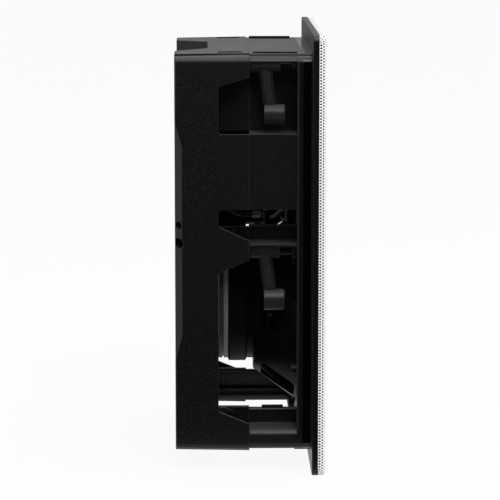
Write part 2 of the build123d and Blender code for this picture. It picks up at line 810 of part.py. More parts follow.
def woofer_basket():
    """Pressed basket: flange, cone with windows between its legs, collar for the spider and rear disc."""
    rim, flange_hole = basket_diameter / 2, basket_hole / 2 - cutout_gap
    rear = basket_rear_diameter / 2
    collar = spider_diameter / 2
    opening = cone_diameter / 2 + basket_inner_gap
    outline = [
        (opening, basket_front),
        (rim, basket_front),
        (rim, baffle_front),
        (flange_hole, baffle_front),
        (rear, basket_rear),
        (gap_radius, basket_rear),
        (gap_radius, basket_disc_front),
        (collar - spider_ledge, basket_disc_front),
        (collar - spider_ledge, spider_seat),
        (collar, spider_seat),
        (collar, basket_disc_front),
        (rear - basket_wall, basket_disc_front),
        (flange_hole - basket_wall, baffle_front),
        (opening, baffle_front),
    ]
    body = turned(outline)
    half, foot = basket_window_width / 2, collar + spider_ledge
    front, back = baffle_front + basket_window_front, basket_disc_front - basket_window_rear
    window = block(-half, half, front, back, foot, rim)
    window = fillet(window.edges().filter_by(Axis.Z), basket_window_corner)
    for step in range(basket_windows):
        body -= Rot(Y=360 / basket_windows * (step + 0.5)) * window
    half = tag_strip_width / 2
    low, high = tag_radius - tag_strip_height / 2 - tag_ear_foot, tag_radius + tag_strip_height / 2
    body += block(-half, half, tag_ear_depth, tag_strip_front, low, high)
    body = Pos(0, 0, woofer_height) * body
    for x, z in woofer_screw_places:
        body -= rod(small_screw_diameter + 2 * slip_gap, basket_front, baffle_front, x, z)
    return body


def woofer_tag_strip():
    """Board on the basket's ear, with two short tags that the lead connectors push on to."""
    half, half_height = tag_strip_width / 2, tag_strip_height / 2
    body = block(-half, half, tag_strip_front, tag_front, tag_height - half_height, tag_height + half_height)
    half, half_height = tag_width / 2, tag_thickness / 2
    for x in (-tag_spacing / 2, tag_spacing / 2):
        low, high = tag_height - half_height, tag_height + half_height
        body += block(x - half, x + half, tag_front, connector_front, low, high)
    return body


def lead_connectors():
    """Push-on sleeves at the woofer ends of its leads."""
    half = tag_width / 2 + connector_wall
    low, high = tag_height - connector_height / 2, tag_height + connector_height / 2
    sleeves = []
    for x in (-tag_spacing / 2, tag_spacing / 2):
        sleeve = block(x - half, x + half, connector_front, connector_back, low, high)
        sleeves.append(fillet(sleeve.edges().filter_by(Axis.Y), connector_round))
    return Compound(sleeves)


def lead(points):
    """A lead along a route of points, with each bend as wide as its two runs allow."""
    route = [Vector(*point) for point in points]
    radii = []
    for before, corner, after in zip(route, route[1:], route[2:]):
        turn = radians((corner - before).get_angle(after - corner))
        shorter = min((corner - before).length, (after - corner).length)
        radii.append(bend_share * shorter / tan(turn / 2))
    path = FilletPolyline(*route, radius=radii)
    section = Plane(origin=path @ 0, z_dir=path % 0) * Circle(lead_diameter / 2)
    return sweep(section, path=path)


def woofer_lead(side):
    """From the connector on the woofer up to the foot of the crossover board."""
    x, spread = side * tag_spacing / 2, side * woofer_lead_spread
    start, low = connector_back, tag_height
    end = x + 3 * spread
    route = [(x, start, low), (x, start + lead_stub, low)]
    for run, rise in zip(woofer_lead_runs, woofer_lead_rises):
        x += spread
        route.append((x, start + run, low + rise))
    route += [(end, board_front - board_entry, board_foot), (end, board_front, board_foot)]
    return lead(route)


def tweeter_lead(side):
    """From the tweeter's chamber to the head of the crossover board."""
    x, start = side * tweeter_lead_across, baffle_front + chamber_depth
    straight, bend = tweeter_lead_runs
    route = [(x, start, tweeter_height), (x, start + straight, tweeter_height)]
    route += [(x, start + bend, board_head), (x, board_front, board_head)]
    return lead(route)


def terminal_lead(side):
    """From the floor of the terminal's recess to the foot of the crossover board."""
    x, spread = side * terminal_lead_across, side * terminal_lead_spread
    start = terminal_floor - wall
    low, high = [terminal_height + rise for rise in terminal_lead_rises]
    out, back = terminal_lead_runs
    end = x + 2 * spread
    route = [(x, start, low), (x, start - lead_stub, low), (x + spread, start - out, high)]
    route += [(end, start - back, board_foot), (end, board_front, board_foot)]
    return lead(route)


def woofer_surround():
    """Half-roll rubber edge between the basket and the cone."""
    inner = cone_diameter / 2
    middle = inner + surround_roll
    back = basket_front
    lip = 4.0
    thick = surround_thickness
    roll = Circle(surround_roll + thick / 2) - Circle(surround_roll - thick / 2)
    section = Pos(middle, back - thick) * roll
    front_half = Pos(middle, back - thick - surround_roll) * Rectangle(4 * surround_roll, 2 * surround_roll)
    section = section & front_half
    section += Pos(inner - lip / 2, back - thick / 2) * Rectangle(lip + thick, thick)
    section += Pos(middle + surround_roll + lip / 2, back - thick / 2) * Rectangle(lip + thick, thick)
    return Pos(0, 0, woofer_height) * revolve(section, axis=Axis.Y)


def woofer_cone():
    """Paper cone with a flat rim under the surround."""
    rim = cone_diameter / 2
    slope_start = rim - cone_rim
    thick = cone_thickness
    outline = [
        (rim, cone_front),
        (rim, cone_front + thick),
        (slope_start - thick / 2, cone_front + thick),
        (coil_diameter / 2, cone_neck + thick),
        (coil_diameter / 2, cone_neck),
        (slope_start, cone_front),
    ]
    return turned(outline, 0, woofer_height)


def cone_face(radius):
    """Depth of the cone's front surface at a radius."""
    slope_start = cone_diameter / 2 - cone_rim
    return cone_front + cone_depth * (slope_start - radius) / (slope_start - coil_diameter / 2)


def woofer_dust_cap():
    """Domed cap glued to the cone over the voice coil."""
    rim = dust_cap_diameter / 2
    seat = cone_face(rim) - glue_gap
    return Pos(0, 0, woofer_height) * dome(rim, dust_cap_rise, dust_cap_thickness, seat)


def woofer_voice_coil():
    """Former with its winding, in the gap of the magnet."""
    inner, outer = former_radius, coil_diameter / 2
    low, high = winding_middle - winding_length / 2, winding_middle + winding_length / 2
    outline = [
        (inner, cone_neck),
        (outer, cone_neck),
        (outer, low),
        (winding_radius, low),
        (winding_radius, high),
        (inner, high),
    ]
    return turned(outline, 0, woofer_height)


def woofer_spider():
    """Corrugated disc that centres the voice coil."""
    inner, outer = coil_diameter / 2, spider_diameter / 2
    flat = spider_ledge
    step = (outer - inner - 2 * flat) / (4 * spider_waves)
    lift = [0.0] + spider_waves * [-spider_ripple, 0.0, spider_ripple, 0.0]
    ridge = [(inner, 0.0)] + [(inner + flat + step * n, rise) for n, rise in enumerate(lift)] + [(outer, 0.0)]
    base = spider_seat - spider_thickness
    front = [(r, base + rise) for r, rise in ridge]
    back = [(r, base + rise + spider_thickness) for r, rise in reversed(ridge)]
    return turned(front + back, 0, woofer_height)


def woofer_front_plate():
    radius = front_plate_diameter / 2
    outline = [
        (gap_radius, basket_rear),
        (radius, basket_rear),
        (radius, front_plate_back),
        (gap_radius, front_plate_back),
    ]
    return turned(outline, 0, woofer_height)


def woofer_magnet():
    radius, bore = woofer_magnet_diameter / 2, gap_radius + woofer_magnet_bore_gap
    edge = woofer_magnet_edge
    outline = [
        (bore, front_plate_back),
        (radius - edge, front_plate_back),
        (radius, front_plate_back + edge),
        (radius, woofer_magnet_back - edge),
        (radius - edge, woofer_magnet_back),
        (bore, woofer_magnet_back),
    ]
    return turned(outline, 0, woofer_height)


def woofer_back_plate():
    """Back plate and pole in one forging, with a groove turned in its edge and a vent through the pole."""
    radius, vent = back_plate_diameter / 2, pole_vent_diameter / 2
    groove = woofer_magnet_back + (back_plate_thickness - back_plate_groove) / 2
    outline = [
        (vent, basket_rear),
        (pole_radius, basket_rear),
        (pole_radius, woofer_magnet_back),
        (radius, woofer_magnet_back),
        (radius, groove),
        (radius - back_plate_groove_depth, groove),
        (radius - back_plate_groove_depth, groove + back_plate_groove),
        (radius, groove + back_plate_groove),
        (radius, back_plate_back - back_plate_edge),
        (radius - back_plate_edge, back_plate_back),
        (vent, back_plate_back),
    ]
    return turned(outline, 0, woofer_height)


def driver_screws(places, seat):
    sizes = small_screw_diameter, small_screw_head, small_screw_head_height
    length = baffle_back + driver_screw_reach - seat
    return Compound([screw(*sizes, length, seat, x, z) for x, z in places])


def tweeter_faceplate():
    """Round plate with a shallow horn that opens from the dome."""
    rim, horn, throat = faceplate_diameter / 2, waveguide_diameter / 2, dome_diameter / 2 + throat_gap
    outline = [
        (throat, baffle_front),
        (rim, baffle_front),
        (rim, faceplate_front + faceplate_edge),
        (rim - faceplate_edge, faceplate_front),
        (horn, faceplate_front),
        (throat, faceplate_front + waveguide_depth),
    ]
    body = turned(outline, 0, tweeter_height)
    for x, z in tweeter_screw_places:
        body -= rod(small_screw_diameter + 2 * slip_gap, faceplate_front, baffle_front, x, z)
    return body


def tweeter_dome():
    """Cloth dome with its own narrow roll, clamped under the faceplate."""
    rim = dome_diameter / 2
    seat = baffle_front
    edge = rim + dome_edge
    skirt = [(rim - 2 * dome_thickness, seat), (edge, seat), (edge, seat + dome_thickness)]
    skirt.append((rim - 2 * dome_thickness, seat + dome_thickness))
    cap = dome(rim, dome_rise, dome_thickness, seat + dome_thickness / 2)
    return Pos(0, 0, tweeter_height) * (cap + turned(skirt))


def tweeter_voice_coil():
    start, end = tweeter_plate_front, tweeter_magnet_front + tweeter_coil_reach
    inner, outer = tweeter_coil_inner, tweeter_coil_outer
    return turned([(inner, start), (outer, start), (outer, end), (inner, end)], 0, tweeter_height)


def tweeter_front_plate():
    inner, outer = tweeter_coil_outer + coil_gap, tweeter_magnet_diameter / 2 - tweeter_plate_inset
    start, end = tweeter_plate_front, tweeter_magnet_front
    return turned([(inner, start), (outer, start), (outer, end), (inner, end)], 0, tweeter_height)


def tweeter_magnet():
    inner, outer = tweeter_coil_outer + tweeter_magnet_bore_gap, tweeter_magnet_diameter / 2
    start, end = tweeter_magnet_front, tweeter_magnet_back
    return turned([(inner, start), (outer, start), (outer, end), (inner, end)], 0, tweeter_height)


def tweeter_back_plate():
    """Back plate with its pole."""
    pole, outer = tweeter_coil_inner - coil_gap, tweeter_magnet_diameter / 2 - tweeter_plate_inset
    end = tweeter_magnet_back + tweeter_plate_thickness
    outline = [
        (0, tweeter_plate_front),
        (pole, tweeter_plate_front),
        (pole, tweeter_magnet_back),
        (outer, tweeter_magnet_back),
        (outer, end),
        (0, end),
    ]
    return turned(outline, 0, tweeter_height)


def tweeter_chamber():
    """Closed cup behind the tweeter, seated on the back of its faceplate."""
    outer = chamber_diameter / 2
    inner = outer - chamber_wall
    end = baffle_front + chamber_depth
    outline = [
        (inner, baffle_front),
        (outer, baffle_front),
        (outer, end - chamber_bevel),
        (outer - chamber_bevel, end),
        (0, end),
        (0, end - chamber_wall),
        (inner - chamber_wall, end - chamber_wall),
        (inner, end - 2 * chamber_wall),
    ]
    return turned(outline, 0, tweeter_height)


def crossover_board():
    half = board_width / 2
    low, high = board_centre_height - board_height / 2, board_centre_height + board_height / 2
    body = block(-half, half, board_front, board_back, low, high)
    for x, z in board_posts():
        body -= rod(small_screw_diameter + 2 * slip_gap, board_front, board_back, x, z)
    return body


def board_screws():
    length = board_thickness + board_post_height - screw_end_gap
    sizes = small_screw_diameter, small_screw_head, small_screw_head_height, length, board_front
    return Compound([screw(*sizes, x, z) for x, z in board_posts()])


def inductor(x, rise):
    """Air-cored coil on a bobbin, standing on the front of the board."""
    core, edge = inductor_core / 2, inductor_diameter / 2
    winding, lip = edge - winding_inset, bobbin_lip
    front = board_front - inductor_height
    outline = [
        (core, front),
        (edge, front),
        (edge, front + lip),
        (winding, front + lip),
        (winding, board_front - lip),
        (edge, board_front - lip),
        (edge, board_front),
        (core, board_front),
    ]
    return turned(outline, x, board_centre_height + rise)


def capacitor(x, rise):
    """Film capacitor that lies on the board, with rounded ends."""
    depth = board_front - capacitor_diameter / 2
    body = Rot(Y=90) * Cylinder(capacitor_diameter / 2, capacitor_length)
    body = Pos(x, depth, board_centre_height + rise) * body
    return fillet(body.edges().filter_by(GeomType.CIRCLE), capacitor_round)


def resistor(x, rise):
    """Cement resistor."""
    z = board_centre_height + rise
    half = resistor_length / 2
    side = resistor_side / 2
    body = block(x - half, x + half, board_front - resistor_side, board_front, z - side, z + side)
    return chamfer(body.faces().sort_by(Axis.Y)[0].edges(), resistor_bevel)


def terminal_block():
    """Push terminal with two wells for the buttons and two holes for bare wires."""
    half_width, half_height = terminal_width / 2, terminal_block_height / 2
    low, high = terminal_height - half_height, terminal_height + half_height
    body = block(-half_width, half_width, terminal_floor, terminal_face, low, high)
    body = fillet(body.edges().filter_by(Axis.Y), terminal_round)
    half_width, half_height = button_width / 2 + slip_gap, button_height / 2 + slip_gap
    low, high = button_level - half_height, button_level + half_height
    floor = terminal_face - button_travel - button_root
    for x in button_places:
        body -= block(x - half_width, x + half_width, floor, terminal_face, low, high)
        base = terminal_floor + terminal_base
        body -= rod(wire_hole_diameter, base, terminal_face, x, terminal_height - wire_hole_drop)
    return body


def terminal_button(x):
    """Spring-loaded push button, drawn at rest."""
    half_width, half_height = button_width / 2, button_height / 2
    front, back = terminal_face - button_root + slip_gap, terminal_face + button_proud
    low, high = button_level - half_height, button_level + half_height
    body = block(x - half_width, x + half_width, front, back, low, high)
    return fillet(body.faces().sort_by(Axis.Y)[-1].edges(), button_round)


def export(name, shape):
    export_step(shape, f"parts/{name}.step")


os.makedirs("parts", exist_ok=True)
export("front_frame", front_frame())
export("rear_cage", rear_cage())
export("grille", grille())
export("grille_magnets", grille_magnets())
export("case_screws", case_screws())
for level, height in clamp_heights.items():
    export(f"clamp_{level}_right", clamp(height))
    export(f"clamp_{level}_left", mirror(clamp(height), about=Plane.YZ))
    export(f"clamp_screw_{level}_right", clamp_screw(height))
    export(f"clamp_screw_{level}_left", mirror(clamp_screw(height), about=Plane.YZ))
export("woofer_basket", woofer_basket())
export("woofer_tag_strip", woofer_tag_strip())
export("lead_connectors", lead_connectors())
for polarity, side in (("positive", -1), ("negative", 1)):
    export(f"woofer_lead_{polarity}", woofer_lead(side))
    export(f"tweeter_lead_{polarity}", tweeter_lead(side))
    export(f"terminal_lead_{polarity}", terminal_lead(side))
export("woofer_surround", woofer_surround())
export("woofer_cone", woofer_cone())
export("woofer_dust_cap", woofer_dust_cap())
export("woofer_voice_coil", woofer_voice_coil())
export("woofer_spider", woofer_spider())
export("woofer_front_plate", woofer_front_plate())
export("woofer_magnet", woofer_magnet())
export("woofer_back_plate", woofer_back_plate())
export("woofer_screws", driver_screws(woofer_screw_places, basket_front))
export("tweeter_faceplate", tweeter_faceplate())
export("tweeter_dome", tweeter_dome())
export("tweeter_voice_coil", tweeter_voice_coil())
export("tweeter_front_plate", tweeter_front_plate())
export("tweeter_magnet", tweeter_magnet())
export("tweeter_back_plate", tweeter_back_plate())
export("tweeter_chamber", tweeter_chamber())
export("tweeter_screws", driver_screws(tweeter_screw_places, faceplate_front))
export("crossover_board", crossover_board())
export("board_screws", board_screws())
export("woofer_inductor", inductor(*woofer_inductor_place))
export("tweeter_inductor", inductor(*tweeter_inductor_place))
export("woofer_capacitor", capacitor(*woofer_capacitor_place))
export("tweeter_capacitor", capacitor(*tweeter_capacitor_place))
export("tweeter_resistor", resistor(*resistor_place))
export("terminal_block", terminal_block())
for colour, x in zip(("red", "black"), button_places):
    export(f"terminal_button_{colour}", terminal_button(x))
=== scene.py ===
"""Looks for an in-wall speaker: a perforated white grille, black mouldings, drivers, crossover and leads.

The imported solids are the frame, in metres: the grille faces -Y, the cage reaches back along +Y and +Z is up.
"""

import json
import math

import bpy
import numpy as np
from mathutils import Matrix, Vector


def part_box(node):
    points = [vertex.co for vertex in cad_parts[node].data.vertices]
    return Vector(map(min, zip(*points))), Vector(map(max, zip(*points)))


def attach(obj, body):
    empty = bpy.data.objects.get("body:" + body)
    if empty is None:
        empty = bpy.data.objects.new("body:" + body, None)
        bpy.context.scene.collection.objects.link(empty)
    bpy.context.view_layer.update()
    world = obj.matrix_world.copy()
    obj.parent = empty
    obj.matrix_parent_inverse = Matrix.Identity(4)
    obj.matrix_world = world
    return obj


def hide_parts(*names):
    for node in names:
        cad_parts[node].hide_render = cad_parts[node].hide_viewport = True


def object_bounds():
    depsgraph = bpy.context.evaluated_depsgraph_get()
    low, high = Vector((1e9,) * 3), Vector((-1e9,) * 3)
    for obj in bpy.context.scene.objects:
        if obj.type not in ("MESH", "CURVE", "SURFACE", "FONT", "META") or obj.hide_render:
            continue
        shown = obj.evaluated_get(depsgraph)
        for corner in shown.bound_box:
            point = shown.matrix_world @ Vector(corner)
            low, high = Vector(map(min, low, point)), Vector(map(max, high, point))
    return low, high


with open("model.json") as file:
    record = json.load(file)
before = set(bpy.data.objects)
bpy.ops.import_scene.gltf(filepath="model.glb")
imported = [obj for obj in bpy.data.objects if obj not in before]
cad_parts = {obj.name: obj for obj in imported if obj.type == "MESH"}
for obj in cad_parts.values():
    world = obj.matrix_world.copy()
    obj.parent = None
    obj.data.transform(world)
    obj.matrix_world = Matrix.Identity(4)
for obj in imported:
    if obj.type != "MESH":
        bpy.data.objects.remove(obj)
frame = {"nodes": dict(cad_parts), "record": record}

bl_info = {
    "name": "In-wall speaker",
    "version": (1, 0, 0),
    "blender": (4, 5, 0),
    "location": "3D View > Sidebar > Speaker",
    "description": "Dresses the solids of an in-wall speaker and sets them on a pale stage",
    "category": "Object",
}

MM = 0.001
CAD_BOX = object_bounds()
BODIES = frame["record"]["behaviour"]["bodies"]
HOUSING = next(body for body, nodes in BODIES.items() if "front_frame" in nodes)
GRILLE_LOW, GRILLE_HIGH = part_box("grille")
SHEET_INSET = 0.05 * MM  # the visual sheet stays this far inside the solid's outline
HOLE_CORNERS = 6
TINY = 1e-12  # keeps a division by a length away from zero
BEVEL_SAMPLES = 4
SENSOR_WIDTH = 36.0  # millimetres, as a lens is given
WHITE = (1.0, 1.0, 1.0, 1.0)


# Settings that a user can change


def length(name, description, default):
    """A size in metres."""
    return bpy.props.FloatProperty(
        name=name, description=description, default=default, min=0.0, unit="LENGTH", precision=5
    )


def share(name, description, default):
    """A value from 0 to 1."""
    return bpy.props.FloatProperty(
        name=name, description=description, default=default, min=0.0, max=1.0, subtype="FACTOR"
    )


def power(name, description, default):
    """The power of a light in watts."""
    return bpy.props.FloatProperty(name=name, description=description, default=default, min=0.0, unit="POWER")


def turn(name, description, degrees):
    """An angle, given in degrees and kept in radians."""
    return bpy.props.FloatProperty(
        name=name, description=description, default=math.radians(degrees), subtype="ANGLE"
    )


def colour(name, description, default):
    """A colour."""
    return bpy.props.FloatVectorProperty(
        name=name, description=description, default=default, size=3, min=0.0, max=1.0, subtype="COLOR"
    )


class GrilleSettings(bpy.types.PropertyGroup):
    """The perforated sheet in front."""

    pitch: length("Hole pitch", "Distance between neighbouring holes", 2.0 * MM)
    hole: length("Hole width", "Width of one hole across its corners", 1.4 * MM)
    margin: length("Edge margin", "From the sheet's cut edge to the middle of the first holes", 1.2 * MM)
    sheet: length("Sheet thickness", "Thickness of the steel sheet", 0.35 * MM)
    fold: length("Fold radius", "Radius of the fold round the front", 1.6 * MM)
    corner: length("Corner radius", "Radius of the four corners", 6.0 * MM)
    paint: colour("Paint", "Powder coat of the grille", (0.88, 0.88, 0.87))
    roughness: share("Roughness", "Roughness of the powder coat", 0.45)


class MouldingSettings(bpy.types.PropertyGroup):
    """The black mouldings of the frame, the cage and the clamps."""

    grained_black: colour("Grained black", "Plastic with a moulded grain", (0.0030, 0.0030, 0.0033))
    smooth_black: colour("Smooth black", "Plastic without grain, near the flange", (0.0012, 0.0012, 0.0013))
    # Painted light: lighter than the frame's black, so that the clamps look lit where little light reaches
    # them
    clamp_black: colour("Clamp black", "Plastic of the clamps, painted lighter to look lit", (0.0095, 0.0095, 0.0098))
    # Painted light: the faces that look up are lightened towards this tone
    dust: colour("Dust", "Fine dust on the faces that look up", (0.055, 0.055, 0.056))
    # Painted highlight: edges are lightened towards this tone
    wear: colour("Wear", "Rubbed edges", (0.036, 0.036, 0.037))
    roughness: share("Roughness", "Roughness of the textured faces", 0.40)
    polish: share("Polish", "Roughness of the smooth strip behind the flange", 0.16)
    gloss: share("Gloss", "Strength of the plastic's own reflection", 0.3)
    grain: length("Grain size", "Size of the moulded grain", 0.8 * MM)
    polish_start: length("Polish start", "Distance behind the flange at which the polish starts", 0.4 * MM)
    grain_start: length("Grain start", "Distance behind the flange at which the grain starts", 6.5 * MM)
    edge: length("Edge radius", "Radius that the edges catch the light with", 0.5 * MM)


class DriverSettings(bpy.types.PropertyGroup):
    """Woofer and tweeter."""

    zinc: colour("Zinc", "Plated steel", (0.30, 0.295, 0.28))
    # Painted shade on the back plate's rear rim
    shaded_rim: length("Shaded rim", "Depth of the painted shade at the rear of the back plate", 4.0 * MM)
    ferrite: colour("Ferrite", "Ring magnets", (0.003, 0.003, 0.0032))
    basket: colour("Basket", "Painted basket", (0.0035, 0.0035, 0.0038))
    paper: colour("Cone", "Coated paper of the cone", (0.020, 0.020, 0.021))
    rubber: colour("Surround", "Rubber of the surround", (0.012, 0.012, 0.012))
    cloth: colour("Spider", "Dyed cloth of the spider", (0.020, 0.018, 0.016))
    silk: colour("Dome", "Coated cloth of the tweeter's dome", (0.018, 0.018, 0.02))
    coil: colour("Voice coil", "Varnished winding of the voice coils", (0.035, 0.016, 0.010))


class CrossoverSettings(bpy.types.PropertyGroup):
    """Crossover, terminal and leads."""

    board: colour("Board", "Glass-fibre board", (0.035, 0.09, 0.03))
    copper: colour("Winding", "Enamelled copper of the inductors", (0.45, 0.16, 0.06))
    wire_pitch: length("Wire pitch", "Pitch of the inductors' turns", 0.9 * MM)
    film: colour("Capacitor", "Wrapped film of the capacitors", (0.55, 0.36, 0.05))
    cement: colour("Resistor", "Cement of the resistor", (0.62, 0.60, 0.54))
    tag_board: colour("Tag board", "Resin board of the tag strip", (0.16, 0.07, 0.03))
    red: colour("Red", "Red push button", (0.42, 0.012, 0.010))
    black: colour("Black", "Black push button and block", (0.012, 0.012, 0.012))
    dark_sheath: colour("Dark sheath", "Sheaths of the negative leads", (0.010, 0.010, 0.011))
    red_sheath: colour("Red sheath", "Sheaths of the positive leads", (0.026, 0.011, 0.011))
    sleeve: colour("Sleeve", "Sleeves of the push-on connectors", (0.30, 0.30, 0.29))


class StageSettings(bpy.types.PropertyGroup):
    """Floor, light, cards and camera."""

    floor: colour("Floor", "Pale floor", (0.80, 0.80, 0.80))
    floor_glow: share("Floor glow", "Share of white that the camera and mirrors see on the floor", 0.92)
    surround: share("Surround light", "Strength of the light from all round", 0.65)
    top_light: power("Top light", "Power of the light above", 4.0)
    side_light: power("Side light", "Power of the light on the camera's side", 22.0)
    front_light: power("Front light", "Power of the light before the grille", 7.0)
    black_card: share("Black card", "Tone of the card on the camera's side", 0.005)
    grey_card: share("Grey card", "Tone of the card on the far side", 0.35)
    lens: bpy.props.FloatProperty(
        name="Lens", description="Focal length on a 36 mm sensor", default=179.44, unit="CAMERA"
    )
    camera: bpy.props.FloatVectorProperty(
        name="Camera",
        description="Place of the camera",
        default=(-1.7933, 0.0724, 0.2633),
        size=3,
        subtype="XYZ",
    )
    pitch: turn("Pitch", "How far the camera looks down", 8.672)
    yaw: turn("Yaw", "How far the camera turns to the front", 1.002)


def settings(group):
    """One group of the user's settings."""
    return getattr(bpy.context.scene, group)


# Node helpers


def add(tree, kind, **values):
    """A node with some of its properties or input values set."""
    node = tree.nodes.new(kind)
    for name, value in values.items():
        if hasattr(node, name):
            setattr(node, name, value)
        else:
            node.inputs[name.replace("_", " ").title()].default_value = value
    return node


def feed(tree, source, socket):
    """Links a socket to a source, or sets it to a plain value."""
    if isinstance(source, bpy.types.NodeSocket):
        tree.links.new(source, socket)
    else:
        socket.default_value = source


def calc(tree, operation, *sides):
    """The result of a math node. Each side is a socket or a number."""
    node = add(tree, "ShaderNodeMath", operation=operation)
    for number, side in enumerate(sides):
        feed(tree, side, node.inputs[number])
    return node.outputs[0]


def spread(tree, source, low, high, start=0.3, end=0.7):
    """A value that runs from low to high as the source runs from start to end.

    The default start and end are those between which most of a noise lies.
    """
    ranged = add(tree, "ShaderNodeMapRange", from_min=start, from_max=end, to_min=low, to_max=high)
    tree.links.new(source, ranged.inputs["Value"])
    return ranged.outputs["Result"]


def uneven(tree, source, roughness, drift):
    """A roughness that a texture moves up and down by a drift."""
    return spread(tree, source, roughness - drift, roughness + drift)


def opaque(tone):
    """A tone of three parts as a colour socket takes it."""
    return (*tone, 1.0)


def blend(tree, share_of_second, first, second, kind="RGBA"):
    """A mix of two colours or, as FLOAT, of two values. Each is a socket or a plain one."""
    mix = add(tree, "ShaderNodeMix", data_type=kind)
    tree.links.new(share_of_second, mix.inputs["Factor"])
    feed(tree, first, mix.inputs["A"])
    feed(tree, second, mix.inputs["B"])
    return mix.outputs["Result"]


def tint(tree, source, tone, darker, lighter):
    """A colour that runs from a darker to a lighter share of a tone."""
    dark = opaque(part * darker for part in tone)
    light = opaque(min(1.0, part * lighter) for part in tone)
    return blend(tree, source, dark, light)


def place_axes(tree):
    """X, Y and Z of the place on a piece, in metres."""
    place = add(tree, "ShaderNodeTexCoord")
    split = add(tree, "ShaderNodeSeparateXYZ")
    tree.links.new(place.outputs["Object"], split.inputs[0])
    return split.outputs


def relief(tree, shader, height, depth, edge=0.0):
    """Raises a surface by a height. An edge radius lets its edges catch the light."""
    bump = add(tree, "ShaderNodeBump", distance=depth)
    tree.links.new(height, bump.inputs["Height"])
    if edge:
        rounded = add(tree, "ShaderNodeBevel", samples=BEVEL_SAMPLES, radius=edge)
        tree.links.new(rounded.outputs["Normal"], bump.inputs["Normal"])
    tree.links.new(bump.outputs["Normal"], shader.inputs["Normal"])


def mix_shaders(tree, share_of_second, first, second, output):
    """Shows a share of a second shader in place of the first one, on an output of the tree."""
    mix = add(tree, "ShaderNodeMixShader")
    tree.links.new(share_of_second, mix.inputs[0])
    tree.links.new(first.outputs[0], mix.inputs[1])
    tree.links.new(second.outputs[0], mix.inputs[2])
    tree.links.new(mix.outputs[0], tree.nodes[output].inputs["Surface"])


# Effects that materials share, each a node group


def new_group(name, inputs, outputs):
    """An empty shader group with float inputs, given with their defaults, and float outputs."""
    tree = bpy.data.node_groups.new(name, "ShaderNodeTree")
    for label, default in inputs.items():
        socket = tree.interface.new_socket(label, in_out="INPUT", socket_type="NodeSocketFloat")
        socket.default_value = default
    for label in outputs:
        tree.interface.new_socket(label, in_out="OUTPUT", socket_type="NodeSocketFloat")
    return tree, tree.nodes.new("NodeGroupInput"), tree.nodes.new("NodeGroupOutput")


def place_group(tree, build, **values):
    """A shared group, built on its first use and named like its function, with a material's own values."""
    name = build.__name__.replace("_", " ").capitalize()
    node = tree.nodes.new("ShaderNodeGroup")
    node.node_tree = bpy.data.node_groups.get(name) or build(name)
    for label, value in values.items():
        node.inputs[label.replace("_", " ").capitalize()].default_value = value
    return node


def surface_grain(name):
    """Moulded or coated grain: a fine height, its speckle and a slow cloud, from the place in metres."""
    tree, source, sink = new_group(name, {"Scale": 1800.0, "Drift": 18.0}, ["Height", "Speckle", "Cloud"])
    place = add(tree, "ShaderNodeTexCoord")
    fine = add(tree, "ShaderNodeTexNoise", noise_dimensions="3D", detail=3.0, roughness=0.6)
    coarse = add(tree, "ShaderNodeTexNoise", noise_dimensions="3D", detail=4.0, roughness=0.55)
    cells = add(tree, "ShaderNodeTexVoronoi", feature="F1")
    for texture, scale in ((fine, "Scale"), (coarse, "Drift"), (cells, "Scale")):
        tree.links.new(place.outputs["Object"], texture.inputs["Vector"])
        tree.links.new(source.outputs[scale], texture.inputs["Scale"])
    pebbles = calc(tree, "MULTIPLY", fine.outputs["Fac"], cells.outputs["Distance"])
    tree.links.new(pebbles, sink.inputs["Height"])
    tree.links.new(fine.outputs["Fac"], sink.inputs["Speckle"])
    tree.links.new(coarse.outputs["Fac"], sink.inputs["Cloud"])
    return tree


def painted_top_light(name):
    """Painted light on faces that look up in the piece's own frame, in patches: thin on a slope, full on a
    level face.
    """
    tree, source, sink = new_group(name, {"Start": 0.2, "Full": 0.95, "Patch": 60.0}, ["Amount"])
    place = add(tree, "ShaderNodeTexCoord")
    facing = add(tree, "ShaderNodeSeparateXYZ")
    tree.links.new(place.outputs["Normal"], facing.inputs[0])
    slope = add(tree, "ShaderNodeMapRange", interpolation_type="SMOOTHSTEP")
    tree.links.new(facing.outputs["Z"], slope.inputs["Value"])
    tree.links.new(source.outputs["Start"], slope.inputs["From Min"])
    tree.links.new(source.outputs["Full"], slope.inputs["From Max"])
    patches = add(tree, "ShaderNodeTexNoise", noise_dimensions="3D", detail=3.0)
    tree.links.new(place.outputs["Object"], patches.inputs["Vector"])
    tree.links.new(source.outputs["Patch"], patches.inputs["Scale"])
    thinned = spread(tree, patches.outputs["Fac"], low=0.75, high=1.0)
    tree.links.new(calc(tree, "MULTIPLY", slope.outputs["Result"], thinned), sink.inputs["Amount"])
    return tree


def rubbed_edges(name):
    """Painted highlight on edges: full where the surface turns within an edge radius, none on a flat face."""
    tree, source, sink = new_group(name, {"Radius": 0.5 * MM}, ["Amount"])
    rounded = add(tree, "ShaderNodeBevel", samples=BEVEL_SAMPLES)
    tree.links.new(source.outputs["Radius"], rounded.inputs["Radius"])
    face = add(tree, "ShaderNodeNewGeometry")
    match = add(tree, "ShaderNodeVectorMath", operation="DOT_PRODUCT")
    tree.links.new(rounded.outputs["Normal"], match.inputs[0])
    tree.links.new(face.outputs["Normal"], match.inputs[1])
    turned, straight = 0.86, 0.99  # cosines of the angle between the rounded and the plain surface
    edge_highlight = spread(tree, match.outputs["Value"], low=1.0, high=0.0, start=turned, end=straight)
    tree.links.new(edge_highlight, sink.inputs["Amount"])
    return tree


def wire_turns(name):
    """Turns of wire side by side along Y: a rounded height and a painted shade, darker in the grooves between
    the turns.
    """
    tree, source, sink = new_group(name, {"Pitch": 0.9 * MM}, ["Height", "Groove shade"])
    turns = calc(tree, "DIVIDE", place_axes(tree)["Y"], source.outputs["Pitch"])
    half = 0.5
    rise = calc(tree, "MULTIPLY", calc(tree, "PINGPONG", turns, half), 1 / half)
    tree.links.new(calc(tree, "SQRT", rise), sink.inputs["Height"])
    tree.links.new(rise, sink.inputs["Groove shade"])
    return tree


